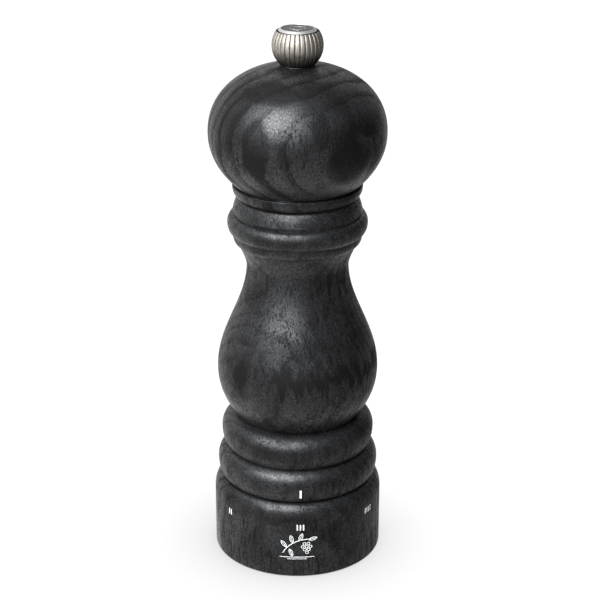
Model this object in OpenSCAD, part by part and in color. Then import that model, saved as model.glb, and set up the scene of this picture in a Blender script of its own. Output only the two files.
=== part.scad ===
// Pepper mill: turned beech case, steel drive shaft and burrs, grind set by turning the foot ring.
// The mill stands on z = 0 with its axis on Z. The index line on the lower bead faces -Y.

/* [Overall] */
// Height of the whole mill, from the foot to the top of the knob
total_h = 180; // [178:1:300]
// Diameter of the foot
foot_d = 56.6; // [54:0.2:70]
// Widest diameter of the head
head_d = 57.4; // [50:0.2:72]
// Widest diameter of the belly
belly_d = 53.5; // [46:0.2:66]
// Diameter of the waist
waist_d = 33.5; // [32:0.1:40]

/* [Foot ring] */
// Height of the straight wall of the foot ring
skirt_h = 20.6; // [18:0.1:22]
// Small round at the bottom edge
foot_round = 0.6; // [0.3:0.1:1]
// Height of the groove where the foot ring meets the body
split_h = 26.4; // [26:0.1:30]
// Diameter at the bottom of that groove
split_d = 50; // [48:0.1:53]

/* [Beads] */
// Diameter of the lower bead
low_bead_d = 54; // [52:0.1:60]
// Height of the lower bead
low_bead_h = 11; // [9:0.1:14]
// Height of the lower bead's crest above its lower groove
low_bead_rise = 5.7; // [4:0.1:8]
// Diameter at the bottom of the groove between the beads
mid_groove_d = 46; // [44:0.1:50]
// Diameter of the upper bead
high_bead_d = 51.2; // [48:0.1:58]
// Height of the upper bead
high_bead_h = 11.7; // [9:0.1:15]
// Height of the upper bead's crest above its lower groove
high_bead_rise = 6.4; // [4:0.1:8]
// Diameter at the bottom of the groove under the belly
belly_groove_d = 40.8; // [38:0.1:46]

/* [Belly and waist] */
// Height of the belly's crest above its groove
belly_rise = 16.6; // [12:0.1:22]
// Height from the waist to the round under the neck ring
waist_rise = 7.6; // [6:0.1:12]
// How full the belly and the head swell: 2 is a parabola, more is fuller
fullness = 2.15; // [1.8:0.05:3]
// How suddenly the waist flares out to the neck: 1 is a straight cone, more is later
flare_curve = 1.45; // [1.2:0.05:3]

/* [Neck ring] */
// Diameter at the top of the waist's flare
flare_d = 39.4; // [36:0.1:41]
// Diameter of the small round under the neck ring
neck_round_d = 42.3; // [41:0.1:46]
// Height of that round
neck_round_h = 2.9; // [1.5:0.1:4]
// Height of the narrow band between the round and the ring
neck_step_h = 0.6; // [0.3:0.1:1.5]
// Diameter of the neck ring
neck_ring_d = 45.8; // [44:0.1:54]
// Height of the neck ring
neck_ring_h = 6.4; // [5:0.1:10]
// Height of the neck ring's crest above its lower edge
neck_crest_rise = 3.4; // [2:0.1:5]
// Height of the narrow band over the neck ring
neck_band_h = 1; // [0.5:0.1:2]
// Height of the quarter round that runs in to the head's joint
neck_cap_h = 4.8; // [3:0.1:6]
// Diameter at the bottom of the groove where the head meets the body
neck_groove_d = 35; // [34:0.1:39]

/* [Head] */
// Height of the head's collar, with the groove under the ball
collar_h = 4.6; // [4:0.1:7]
// Height of the collar's quarter round
collar_round_h = 3.4; // [2.5:0.1:3.8]
// Depth of the narrow groove under the ball
lip_groove_depth = 1.3; // [0.5:0.1:2]
// Height of the narrow groove under the ball
lip_groove_h = 0.6; // [0.3:0.1:0.7]
// Diameter of the ball's lower lip
lip_d = 41.3; // [41:0.1:48]
// Height of the ball's crest above its lower lip
ball_rise = 16.7; // [12:0.1:20]
// Height of the ball's top above its crest
dome_h = 21.9; // [18:0.1:28]
// Length of the tenon that locates the head in the body
tenon_l = 8.7; // [6:0.1:14]
// Diameter of the tenon
tenon_d = 28.6; // [27:0.1:29.2]

/* [Knob] */
// Diameter of the knob
knob_d = 16.4; // [15:0.1:20]
// Height of the knob over the head
knob_h = 11.5; // [10.5:0.1:14]
// Height of the knob's bevelled rim
knob_bevel_h = 0.8; // [0.4:0.1:1.2]
// Diameter of the disc let into the knob
disc_d = 11; // [9:0.1:11.2]
// Thickness of the disc
disc_t = 0.95; // [0.6:0.05:1.2]
// Number of ribs round the knob
rib_count = 30; // [20:1:40]
// Width of the groove between two ribs
rib_groove_w = 0.8; // [0.5:0.1:1.2]
// Diameter of the brass thread insert in the knob
knob_insert_d = 7.9; // [7:0.1:8.4]
// Thickness of the washer under the knob
knob_washer_t = 0.5; // [0.3:0.1:1]

/* [Shaft] */
// Width across the flats of the square shaft
shaft_w = 5; // [4:0.1:5.6]
// Diameter of the shaft's round journal, which also rounds the square's corners
journal_d = 7; // [6:0.1:7.4]
// Diameter of the thread at the shaft's top
thread_d = 5; // [4:0.1:5.4]
// Length of the thread
thread_l = 12.2; // [10:0.1:16]
// Outer diameter of the circlip over the bearing
circlip_d = 11; // [9:0.1:12]
// Outer diameter of the clip under the burr
burr_clip_d = 9; // [8:0.1:10]
// Thickness of the washers and clips
washer_t = 0.8; // [0.5:0.1:1.2]
// Outer diameter of the thrust washer and the bush's flange
thrust_d = 13; // [11:0.1:14]

/* [Grinder] */
// Outer diameter of the ring burr
burr_d = 28.8; // [24:0.1:30]
// Height of the ring burr
burr_h = 9.6; // [8:0.1:11]
// Wall of the ring burr at its bottom edge
burr_wall = 3.2; // [2.6:0.1:4]
// How far the ring burr narrows to its throat
throat_step = 1.3; // [0.8:0.1:2]
// Wall of the ring burr at its top edge
burr_mouth_wall = 1; // [0.6:0.1:2]
// Radial gap between the burrs at the middle setting
grind_gap = 0.7; // [0.5:0.05:1]
// Diameter of the cone burr's hub
burr_hub_d = 11; // [10:0.1:12]
// Feed grooves on the cone burr
feed_grooves = 7; // [5:1:10]
// Fine teeth inside the ring burr
ring_teeth = 24; // [16:1:36]
// Wire diameter of the spring that holds the carrier down
spring_wire_d = 0.9; // [0.6:0.1:1.2]
// Turns of that spring
spring_turns = 4; // [3:1:6]

/* [Housing and bearing] */
// Wall of the housing's tube
tube_wall = 1.5; // [1.2:0.1:2]
// Thickness of the housing's flange
flange_t = 3.7; // [3:0.1:5]
// Thickness of the bearing bridge's arms
arm_t = 2.4; // [1.8:0.1:3]
// Width of the bearing bridge's arms
arm_w = 6; // [5.6:0.1:8]
// Diameter of the bearing bridge's hub
bridge_hub_d = 16; // [14:0.1:18]
// Outer diameter of the bush's barrel
bush_d = 10; // [9:0.1:11]
// Diameter of the pepper chamber
chamber_d = 25; // [22:0.1:25.6]
// Diameter of the housing screws' threads
screw_d = 2.2; // [1.8:0.1:2.4]
// Diameter of the small screws' heads
screw_head_d = 3; // [2.6:0.1:3.1]
// Length of a housing screw's thread
screw_l = 9; // [7:0.1:10]

/* [Clearances] */
// Gap between two cases that turn on each other
case_gap = 0.3; // [0.2:0.05:0.5]
// Radial clearance of a running fit
running_gap = 0.05; // [0.02:0.01:0.1]
// Radial clearance of pieces that are pushed or glued together
seat_gap = 0.05; // [0.02:0.01:0.1]
// Clearance of the square hole round the shaft, on each side
square_gap = 0.15; // [0.1:0.05:0.3]
// Radial clearance of the carrier's thread
thread_gap = 0.2; // [0.15:0.05:0.3]

/* [Hidden] */
$fn = 96;
// Overlap of two shapes that are joined, and how far a cutter passes the face it opens
EPS = 0.01;
OVER = 1;

// Colours
graphite = [0.17, 0.18, 0.19];
black_plastic = [0.08, 0.08, 0.085];
bright_steel = [0.72, 0.71, 0.69];
burr_steel = [0.42, 0.42, 0.43];
brass = [0.78, 0.62, 0.3];
bronze = [0.6, 0.42, 0.24];

// Heights of the case, counted up from the foot and down from the knob
mid_groove_z = split_h + low_bead_h;
belly_groove_z = mid_groove_z + high_bead_h;
belly_z = belly_groove_z + belly_rise;
knob_z = total_h - knob_h;
dome_z = knob_z + 0.1;
ball_z = dome_z - dome_h;
lip_z = ball_z - ball_rise;
neck_split_z = lip_z - collar_h;
neck_band_z = neck_split_z - neck_cap_h - neck_band_h;
neck_ring_z = neck_band_z - neck_ring_h;
neck_round_z = neck_ring_z - neck_step_h - neck_round_h;
waist_z = neck_round_z - waist_rise;
tenon_z = neck_split_z - tenon_l;

// Fixed walls and steps of the grinder
spring_step = 0.55;
spring_side = 0.45;
spring_lip = 0.7;
skirt_wall = 1.6;
snap_depth = 1;
snap_h = 1.7;
snap_play = 0.4;
carrier_rim = 0.4;
insert_wall = 1.25;
flange_margin = 1.4;
tube_l = 8.9;
spring_lip_t = 2;
bush_l = 7.7;
stack_gap = 0.1;
screw_seat = 1.5;
screw_room = 0.5;
slot_angle = 30;
screw_angle = 90;
index_pitch = 55;

// Fixed sizes of the drive plate and the knob
plate_t = 1.2;
plate_screw_l = 8;
plate_margin = 1.5;
plate_screw_share = 0.68;
shaft_room = 0.5;
knob_crest_share = 0.56;
disc_sink = 0.15;
insert_land = 1.8;
seat_step = 0.1;
washer_inset = 0.6;

// Radii of the grinder, each one wrapped round the piece inside it
burr_r = burr_d / 2;
burr_in_r = burr_r - burr_wall;
throat_r = burr_in_r - throat_step;
seat_r = burr_r + seat_gap;
skirt_in_r = seat_r + spring_step;
skirt_out_r = skirt_in_r + skirt_wall;
tube_in_r = skirt_out_r + case_gap;
tube_out_r = tube_in_r + tube_wall;
snap_r = tube_out_r + snap_depth;
carrier_r = skirt_out_r + carrier_rim;
thread_bore_r = carrier_r + thread_gap;
insert_neck_r = tube_out_r + case_gap;
insert_recess_r = snap_r + case_gap;
insert_r = insert_recess_r + insert_wall;
flange_r = insert_r + flange_margin;
spring_r = skirt_in_r - spring_side - spring_wire_d / 2;
flange_lip_r = spring_r - spring_wire_d / 2 - spring_lip;
screw_ring_r = (tube_out_r + flange_r) / 2;
plate_r = chamber_d / 2 - plate_margin;
plate_screw_r = plate_screw_share * plate_r;
knob_seat_r = knob_d / 3;

// Heights of the grinder
cover_z = 0.6;
insert_z = 2;
carrier_z = 3;
seat_z = 5;
burr_top_z = seat_z + burr_h;
carrier_step_z = burr_top_z - 0.1;
thread_top_z = carrier_step_z + 1.6;
flange_z = split_h + 0.5;
flange_top_z = flange_z + flange_t;
snap_z = flange_z - tube_l;
insert_neck_z = snap_z + snap_h + snap_play;
insert_top_z = split_h - 1.3;
skirt_top_z = flange_z - 2.8;
rib_slot_z = snap_z - 1.1;
lip_under_z = flange_top_z - spring_lip_t;
arm_top_z = flange_top_z + arm_t;
screw_seat_z = flange_z + screw_seat;
cone_z = 6;
cone_mid_z = 10;
cone_top_z = flange_z - 5.8;
hub_top_z = flange_z - 0.6;
thrust_z = hub_top_z + 0.2;
bush_z = thrust_z + washer_t + stack_gap;
bush_top_z = bush_z + bush_l;
circlip_z = bush_top_z + 0.3;
journal_groove_z = circlip_z + washer_t + 0.05;
journal_top_z = circlip_z + washer_t + 0.4;
shaft_z = 4.4;
burr_clip_z = cone_z - stack_gap - washer_t;
thread_tip_z = total_h - 3.8;
throat_z = seat_z + 0.45 * burr_h;
disc_z = total_h - disc_sink - disc_t;

// Points of a quarter ellipse from a crest, where the wall is upright, to a groove's bottom
function quarter(crest_r, crest_z, root_r, root_z, steps = 8) =
    [for (i = [0:steps]) let (a = 90 * i / steps)
        [root_r + (crest_r - root_r) * cos(a), crest_z + (root_z - crest_z) * sin(a)]];

// The same points from the groove's bottom to the crest
function rise(root_r, root_z, crest_r, crest_z, steps = 8) =
    let (q = quarter(crest_r, crest_z, root_r, root_z, steps)) [for (i = [steps:-1:0]) q[i]];

// Points of a swelling curve between a crest and an edge, from the first height to the second
function swell(crest_r, crest_z, edge_r, edge_z, from, to, power, steps = 8) =
    [for (i = [0:steps]) let (z = from + (to - from) * i / steps)
        [crest_r + (edge_r - crest_r) * pow(abs((z - crest_z) / (edge_z - crest_z)), power), z]];

// Points of an S-curve from one upright place to another
function s_curve(low_r, low_z, high_r, high_z, steps = 14) =
    [for (i = [0:steps]) let (t = i / steps)
        [low_r + (high_r - low_r) * (1 - cos(180 * t)) / 2, low_z + (high_z - low_z) * t]];

// Points of the dome from its crest to its top
function dome(crest_r, crest_z, top_z, steps = 16) =
    [for (i = [0:steps]) let (a = 90 * i / steps)
        [crest_r * pow(cos(a), 2 / fullness), crest_z + (top_z - crest_z) * pow(sin(a), 2 / fullness)]];

// A solid of revolution from an outline that starts and ends away from the axis
module turned(outline) {
    first = outline[0];
    last = outline[len(outline) - 1];
    rotate_extrude() polygon(concat([[0, first[1]]], outline, [[0, last[1]]]));
}

// A tube between two heights
module tube(outer_r, inner_r, low_z, high_z) {
    difference() {
        translate([0, 0, low_z]) cylinder(r = outer_r, h = high_z - low_z);
        translate([0, 0, low_z - OVER]) cylinder(r = inner_r, h = high_z - low_z + 2 * OVER);
    }
}

// A bore between two heights
module bore(r, low_z, high_z) {
    translate([0, 0, low_z]) cylinder(r = r, h = high_z - low_z);
}

// Copies round the axis
module around(count, start = 0) {
    for (i = [0:count - 1]) rotate([0, 0, start + 360 * i / count]) children();
}

module adjuster_ring() {
    top_z = split_h - case_gap / 2;
    round_points = rise(foot_d / 2 - foot_round, 0, foot_d / 2, foot_round, 4);
    shoulder = quarter(foot_d / 2, skirt_h, split_d / 2, top_z, 10);
    color(graphite) difference() {
        turned(concat(round_points, shoulder));
        bore(insert_r + seat_gap, -OVER, split_h + OVER);
    }
}

module adjuster_insert() {
    notch_w = 1.8;
    notch_h = 0.8;
    wall = [[thread_bore_r, insert_z], [insert_r, insert_z], [insert_r, insert_top_z],
            [insert_neck_r, insert_top_z], [insert_neck_r, insert_neck_z],
            [insert_recess_r, insert_neck_z], [insert_recess_r, thread_top_z],
            [thread_bore_r, thread_top_z]];
    color(black_plastic) difference() {
        rotate_extrude() polygon(wall);
        for (i = [-2:3]) rotate([0, 0, i * index_pitch])
            translate([-notch_w / 2, -insert_r - OVER, insert_top_z - notch_h])
                cube([notch_w, insert_r - insert_neck_r + 2 * OVER, notch_h + OVER]);
    }
}

module base_cover() {
    lap = 0.8;
    color(black_plastic) tube(insert_r, burr_r + lap, cover_z, insert_z);
}

module burr_carrier() {
    slot_w = 4;
    mouth_step = 2;
    color(black_plastic) difference() {
        union() {
            bore(carrier_r, carrier_z, carrier_step_z);
            bore(skirt_out_r, carrier_step_z - EPS, skirt_top_z);
        }
        bore(burr_in_r + mouth_step, carrier_z - OVER, seat_z + EPS);
        bore(seat_r, seat_z, carrier_step_z + EPS);
        bore(skirt_in_r, carrier_step_z, skirt_top_z + OVER);
        around(3, slot_angle) translate([skirt_in_r - OVER, -slot_w / 2, rib_slot_z])
            cube([skirt_wall + 2 * OVER, slot_w, skirt_top_z - rib_slot_z + OVER]);
    }
}

module female_burr() {
    tooth_d = 0.7;
    tooth_reach = 2.1;
    wall = [[burr_r, seat_z], [burr_r, burr_top_z], [burr_r - burr_mouth_wall, burr_top_z],
            [throat_r, throat_z], [burr_in_r, seat_z]];
    lean = atan((burr_in_r - throat_r) / (throat_z - seat_z));
    color(burr_steel) difference() {
        rotate_extrude() polygon(wall);
        around(ring_teeth) translate([burr_in_r, 0, seat_z]) rotate([0, -lean, 0])
            cylinder(d = tooth_d, h = tooth_reach * (throat_z - seat_z), center = true);
    }
}

module male_burr() {
    groove_d = 2.2;
    groove_l = 26;
    groove_lead = 24;
    groove_offset = 0.3;
    foot_r = burr_in_r - grind_gap;
    mid_r = throat_r - grind_gap;
    hub_r = burr_hub_d / 2;
    body = [[foot_r, cone_z], [mid_r, cone_mid_z], [hub_r, cone_top_z], [hub_r, hub_top_z]];
    lean = atan((mid_r - hub_r) / (cone_top_z - cone_mid_z));
    square_hole = shaft_w + 2 * seat_gap;
    color(burr_steel) difference() {
        turned(body);
        around(feed_grooves) translate([mid_r + groove_offset, 0, cone_mid_z])
            rotate([-groove_lead, -lean, 0]) cylinder(d = groove_d, h = groove_l, center = true);
        intersection() {
            translate([-square_hole / 2, -square_hole / 2, 0]) cube([square_hole, square_hole, total_h]);
            bore(journal_d / 2 + seat_gap, 0, total_h);
        }
    }
}

// A ring with a gap on one side, cut to spring open
module open_ring(outer_r, inner_r, low_z, thick, gap) {
    difference() {
        tube(outer_r, inner_r, low_z, low_z + thick);
        translate([0, -gap / 2, low_z - OVER]) cube([outer_r + OVER, gap, thick + 2 * OVER]);
    }
}

module burr_clip() {
    bite = 0.15;
    gap = 2;
    inner_r = shaft_w / 2 - bite;
    color(bright_steel) open_ring(burr_clip_d / 2, inner_r, burr_clip_z, washer_t - stack_gap, gap);
}

module shaft_circlip() {
    bite = 0.55;
    gap = 2.4;
    color(bright_steel) open_ring(circlip_d / 2, journal_d / 2 - bite, circlip_z, washer_t, gap);
}

// A round wire wound on the axis, with half a turn laid flat at each end
module carrier_spring() {
    sides = 8;
    rings = 24 * spring_turns;
    wire_r = spring_wire_d / 2;
    end_gap = 0.02;
    low_z = burr_top_z + wire_r + end_gap;
    high_z = lip_under_z - wire_r - end_gap;
    flat = 0.5 / spring_turns;
    function lift(t) = low_z + (high_z - low_z) * min(1, max(0, (t - flat) / (1 - 2 * flat)));
    points = [for (i = [0:rings]) let (t = i / rings, a = 360 * spring_turns * t)
        for (j = [0:sides - 1]) let (b = 360 * j / sides, r = spring_r + wire_r * cos(b))
            [r * cos(a), r * sin(a), lift(t) + wire_r * sin(b)]];
    walls = [for (i = [0:rings - 1]) for (j = [0:sides - 1]) let (k = (j + 1) % sides)
        [i * sides + j, (i + 1) * sides + j, (i + 1) * sides + k, i * sides + k]];
    start_cap = [[for (j = [0:sides - 1]) j]];
    end_cap = [[for (j = [sides - 1:-1:0]) rings * sides + j]];
    color(bright_steel) polyhedron(points, concat(walls, start_cap, end_cap));
}

// A leaf under the housing's flange with a nose that drops into a notch of the insert
module click_spring() {
    nose_d = 1.4;
    nose_lift = 0.3;
    leaf_t = 0.4;
    leaf_l = 12;
    leaf_side = 0.4;
    leaf_r = (tube_out_r + leaf_side + insert_r) / 2;
    leaf_w = insert_r - tube_out_r - 2 * leaf_side;
    web_w = leaf_w - 2 * nose_lift;
    web_z = insert_top_z + nose_lift + 0.1;
    color(bright_steel) {
        intersection() {
            tube(leaf_r + leaf_w / 2, leaf_r - leaf_w / 2, flange_z - leaf_t, flange_z);
            translate([-leaf_l / 2, -insert_r - OVER, 0]) cube([leaf_l, insert_r, flange_z + OVER]);
        }
        translate([0, -leaf_r, insert_top_z + nose_lift]) rotate([90, 0, 0])
            cylinder(d = nose_d, h = web_w, center = true);
        translate([-leaf_t / 2, -leaf_r - web_w / 2, web_z])
            cube([leaf_t, web_w, flange_z - leaf_t / 2 - web_z]);
    }
}

module mechanism_housing() {
    rib_w = 3.4;
    rib_reach = 4;
    counterbore_d = screw_head_d + 0.3;
    color(black_plastic) difference() {
        union() {
            bore(flange_r, flange_z, flange_top_z);
            bore(tube_out_r, snap_z, flange_z + EPS);
            bore(snap_r, snap_z, snap_z + snap_h);
        }
        difference() {
            bore(tube_in_r, snap_z - OVER, lip_under_z);
            around(3, slot_angle) translate([skirt_in_r + case_gap, -rib_w / 2, snap_z])
                cube([rib_reach, rib_w, lip_under_z - snap_z + OVER]);
        }
        bore(flange_lip_r, lip_under_z - EPS, flange_top_z + OVER);
        around(3, screw_angle) translate([screw_ring_r, 0, 0]) {
            bore(screw_d / 2 + seat_gap, 0, total_h);
            bore(counterbore_d / 2, 0, screw_seat_z);
        }
    }
}

module bearing_bridge() {
    arm_inset = 0.4;
    color(black_plastic) difference() {
        union() {
            bore(bridge_hub_d / 2, bush_z + washer_t + stack_gap, arm_top_z);
            around(3, screw_angle) intersection() {
                translate([0, -arm_w / 2, flange_top_z]) cube([flange_r, arm_w, arm_t]);
                bore(flange_r - arm_inset, 0, total_h);
            }
        }
        bore(bush_d / 2 + seat_gap, 0, total_h);
        around(3, screw_angle) translate([screw_ring_r, 0, 0]) bore(screw_d / 2 + seat_gap, 0, total_h);
    }
}

module bearing_bush() {
    color(bronze) difference() {
        union() {
            bore(thrust_d / 2, bush_z, bush_z + washer_t);
            bore(bush_d / 2, bush_z, bush_top_z);
        }
        bore(journal_d / 2 + running_gap, 0, total_h);
    }
}

module thrust_washer() {
    color(bright_steel) tube(thrust_d / 2, journal_d / 2 + seat_gap, thrust_z, thrust_z + washer_t);
}

// A pan-head screw that points up, with its head's underside at z
module small_screw(head_d, thread_d, length, z) {
    head_h = 1.1;
    cross_l = 1.7;
    cross_w = 0.4;
    cross_depth = 0.6;
    difference() {
        union() {
            translate([0, 0, z - head_h]) cylinder(d = head_d, h = head_h);
            translate([0, 0, z - EPS]) cylinder(d = thread_d, h = length);
        }
        for (a = [0, 90]) rotate([0, 0, a]) translate([-cross_l / 2, -cross_w / 2, z - head_h - OVER])
            cube([cross_l, cross_w, cross_depth + OVER]);
    }
}

module housing_screws() {
    color(bright_steel) around(3, screw_angle) translate([screw_ring_r, 0, 0])
        small_screw(screw_head_d, screw_d, screw_l, screw_seat_z);
}

module body_shell() {
    low_z = split_h + case_gap / 2;
    high_z = neck_split_z - case_gap / 2;
    recess_side = 0.1;
    recess_top = 0.2;
    outline = concat(
        rise(split_d / 2, low_z, low_bead_d / 2, split_h + low_bead_rise),
        quarter(low_bead_d / 2, split_h + low_bead_rise, mid_groove_d / 2, mid_groove_z),
        rise(mid_groove_d / 2, mid_groove_z, high_bead_d / 2, mid_groove_z + high_bead_rise),
        quarter(high_bead_d / 2, mid_groove_z + high_bead_rise, belly_groove_d / 2, belly_groove_z),
        swell(belly_d / 2, belly_z, belly_groove_d / 2, belly_groove_z,
              belly_groove_z, belly_z, fullness, 10),
        s_curve(belly_d / 2, belly_z, waist_d / 2, waist_z),
        swell(waist_d / 2, waist_z, flare_d / 2, neck_round_z, waist_z, neck_round_z, flare_curve),
        rise(flare_d / 2, neck_round_z, neck_round_d / 2, neck_round_z + neck_round_h, 5),
        rise(neck_round_d / 2, neck_ring_z, neck_ring_d / 2, neck_ring_z + neck_crest_rise),
        quarter(neck_ring_d / 2, neck_ring_z + neck_crest_rise, neck_round_d / 2, neck_band_z),
        quarter(neck_round_d / 2, neck_band_z + neck_band_h, neck_groove_d / 2, high_z));
    color(graphite) difference() {
        turned(outline);
        bore(flange_r + recess_side, low_z - OVER, arm_top_z + recess_top);
        bore(chamber_d / 2, low_z, high_z + OVER);
        bore(tenon_d / 2 + case_gap, tenon_z - plate_t - screw_room, high_z + OVER);
        around(3, screw_angle) translate([screw_ring_r, 0, 0])
            bore(screw_d / 2 + seat_gap, low_z, screw_seat_z + screw_l + screw_room);
    }
}

module drive_shaft() {
    square_z = thread_tip_z - thread_l;
    clip_groove = 0.2;
    circlip_groove = 0.6;
    groove_play = 0.05;
    color(bright_steel) difference() {
        union() {
            intersection() {
                translate([-shaft_w / 2, -shaft_w / 2, shaft_z]) cube([shaft_w, shaft_w, square_z - shaft_z]);
                bore(journal_d / 2, shaft_z, square_z);
            }
            bore(journal_d / 2, hub_top_z + stack_gap, journal_top_z);
            bore(thread_d / 2, square_z - EPS, thread_tip_z);
        }
        tube(journal_d, shaft_w / 2 - clip_groove, burr_clip_z - stack_gap, burr_clip_z + washer_t);
        tube(journal_d, journal_d / 2 - circlip_groove, circlip_z - groove_play, journal_groove_z);
    }
}

module head_shell() {
    low_z = neck_split_z + case_gap / 2;
    neck_r = neck_round_d / 2;
    round_z = low_z + collar_round_h;
    groove_z = lip_z - lip_groove_h;
    tenon_r = tenon_d / 2;
    outline = concat(
        [[tenon_r, tenon_z], [tenon_r, low_z]],
        rise(neck_groove_d / 2, low_z, neck_r, round_z),
        [[neck_r, groove_z], [neck_r - lip_groove_depth, groove_z], [neck_r - lip_groove_depth, lip_z]],
        swell(head_d / 2, ball_z, lip_d / 2, lip_z, lip_z, ball_z, fullness, 12),
        dome(head_d / 2, ball_z, dome_z));
    color(graphite) difference() {
        turned(outline);
        bore(journal_d / 2 + shaft_room, tenon_z - OVER, total_h);
        bore(knob_seat_r, knob_z - knob_washer_t - seat_step, total_h);
        around(2) translate([plate_screw_r, 0, 0])
            bore(screw_d / 2 + seat_gap, tenon_z - OVER, tenon_z - plate_t + plate_screw_l + screw_room);
    }
}

module drive_plate() {
    hole_w = shaft_w + 2 * square_gap;
    color(bright_steel) difference() {
        bore(plate_r, tenon_z - plate_t, tenon_z);
        intersection() {
            translate([-hole_w / 2, -hole_w / 2, 0]) cube([hole_w, hole_w, total_h]);
            bore(journal_d / 2 + square_gap, 0, total_h);
        }
        around(2) translate([plate_screw_r, 0, 0]) bore(screw_d / 2 + seat_gap, 0, total_h);
    }
}

module drive_plate_screws() {
    color(bright_steel) around(2) translate([plate_screw_r, 0, 0])
        small_screw(screw_head_d, screw_d, plate_screw_l, tenon_z - plate_t);
}

module knob_washer() {
    low_z = knob_z - knob_washer_t - seat_step / 2;
    inner_r = thread_d / 2 + stack_gap;
    color(bright_steel) tube(knob_seat_r - washer_inset, inner_r, low_z, low_z + knob_washer_t);
}

module knob() {
    ball_r = knob_d / 2;
    centre_z = total_h - knob_bevel_h - knob_crest_share * ball_r;
    rim_z = total_h - knob_bevel_h;
    rim_r = sqrt(pow(ball_r, 2) - pow(rim_z - centre_z, 2));
    groove_sweep = 170;
    groove_sides = 24;
    bevel_step = 0.35;
    top_rim_w = 0.2;
    color(bright_steel) difference() {
        union() {
            difference() {
                intersection() {
                    translate([0, 0, centre_z]) sphere(r = ball_r);
                    bore(ball_r + OVER, knob_z, rim_z);
                }
                around(rib_count) translate([0, 0, centre_z]) rotate([90, 0, 0])
                    rotate_extrude(angle = groove_sweep, start = -groove_sweep / 2) translate([ball_r, 0])
                        circle(d = rib_groove_w, $fn = groove_sides);
            }
            translate([0, 0, rim_z - EPS])
                cylinder(r1 = rim_r - bevel_step, r2 = disc_d / 2 + top_rim_w, h = knob_bevel_h + EPS);
        }
        bore(knob_insert_d / 2 + seat_gap, knob_z - OVER, disc_z - insert_land);
        bore(disc_d / 2 + seat_gap, disc_z, total_h + OVER);
    }
}

module knob_insert() {
    blind_room = 0.3;
    color(brass) difference() {
        bore(knob_insert_d / 2, knob_z + stack_gap, disc_z - insert_land - disc_sink);
        bore(thread_d / 2 + running_gap, knob_z - OVER, thread_tip_z + blind_room);
    }
}

module knob_disc() {
    ring_r = 0.72 * disc_d / 2;
    ring_w = 0.33;
    ring_depth = 0.15;
    color(bright_steel) difference() {
        bore(disc_d / 2, disc_z, disc_z + disc_t);
        tube(ring_r, ring_r - ring_w, disc_z + disc_t - ring_depth, disc_z + disc_t + OVER);
    }
}

adjuster_ring();
adjuster_insert();
base_cover();
burr_carrier();
female_burr();
male_burr();
burr_clip();
carrier_spring();
click_spring();
mechanism_housing();
bearing_bridge();
bearing_bush();
thrust_washer();
shaft_circlip();
housing_screws();
body_shell();
drive_shaft();
head_shell();
drive_plate();
drive_plate_screws();
knob_washer();
knob();
knob_insert();
knob_disc();
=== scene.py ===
"""Pepper mill in graphite-stained beech, with a ribbed nickel knob, built round its working parts."""
import math

import bpy
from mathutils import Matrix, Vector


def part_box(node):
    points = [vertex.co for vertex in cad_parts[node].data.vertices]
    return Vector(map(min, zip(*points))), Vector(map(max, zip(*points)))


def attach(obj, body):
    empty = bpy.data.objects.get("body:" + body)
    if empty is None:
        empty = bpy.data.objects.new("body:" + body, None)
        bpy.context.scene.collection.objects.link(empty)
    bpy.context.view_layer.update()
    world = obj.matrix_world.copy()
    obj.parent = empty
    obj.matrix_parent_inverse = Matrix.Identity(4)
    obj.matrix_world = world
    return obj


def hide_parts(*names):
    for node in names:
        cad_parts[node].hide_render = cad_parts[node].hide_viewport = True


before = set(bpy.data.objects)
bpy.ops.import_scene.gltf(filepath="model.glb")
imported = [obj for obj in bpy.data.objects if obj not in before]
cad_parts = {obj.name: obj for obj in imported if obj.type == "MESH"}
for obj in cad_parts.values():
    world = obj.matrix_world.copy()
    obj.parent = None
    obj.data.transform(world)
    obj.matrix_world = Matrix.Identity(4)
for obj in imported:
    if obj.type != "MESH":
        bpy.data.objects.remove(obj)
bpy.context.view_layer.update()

MM = 0.001


# ---------------------------------------------------------------------------------------------
# Sizes of the turned case and the knob, in millimetres
# ---------------------------------------------------------------------------------------------

FOOT_R = 28.3
FOOT_ROUND = 0.6
SKIRT_Z = 20.6
SPLIT_Z, SPLIT_R = 26.4, 25.0
LOW_BEAD_Z, LOW_BEAD_R = 32.1, 27.0
MID_GROOVE_Z, MID_GROOVE_R = 37.4, 23.0
HIGH_BEAD_Z, HIGH_BEAD_R = 43.8, 25.6
BELLY_GROOVE_Z, BELLY_GROOVE_R = 49.1, 20.4
BELLY_Z, BELLY_R = 65.7, 26.75
WAIST_Z, WAIST_R = 102.1, 16.75
FLARE_Z, FLARE_R = 109.7, 19.7
NECK_ROUND_Z, NECK_ROUND_R = 112.6, 21.15
NECK_RING_Z, NECK_RING_R = 116.6, 22.9
NECK_BAND_Z, NECK_BAND_TOP_Z = 119.6, 120.55
NECK_CAP_Z = 120.7
NECK_SPLIT_Z, NECK_GROOVE_R = 125.4, 18.9
COLLAR_ROUND = 3.4
LIP_Z, LIP_R = 130.0, 20.65
LIP_GROOVE_H, LIP_GROOVE_DEPTH = 0.6, 1.3
BALL_Z, BALL_R = 146.7, 28.7
DOME_Z = 168.6
CASE_GAP = 0.3
FULLNESS = 2.15
FLARE_CURVE = 1.45
NECK_RING_H = 3.4
NECK_BAND_DEPTH = 0.45
CAP_LEAN = 42
TENON_L = 8.7
TOLERANCE = 0.01
KNOB_R = 8.2
TOTAL_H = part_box("knob")[1].z / MM


# ---------------------------------------------------------------------------------------------
# Curves that a turner cuts, as lists of (radius, height)
# ---------------------------------------------------------------------------------------------

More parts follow.
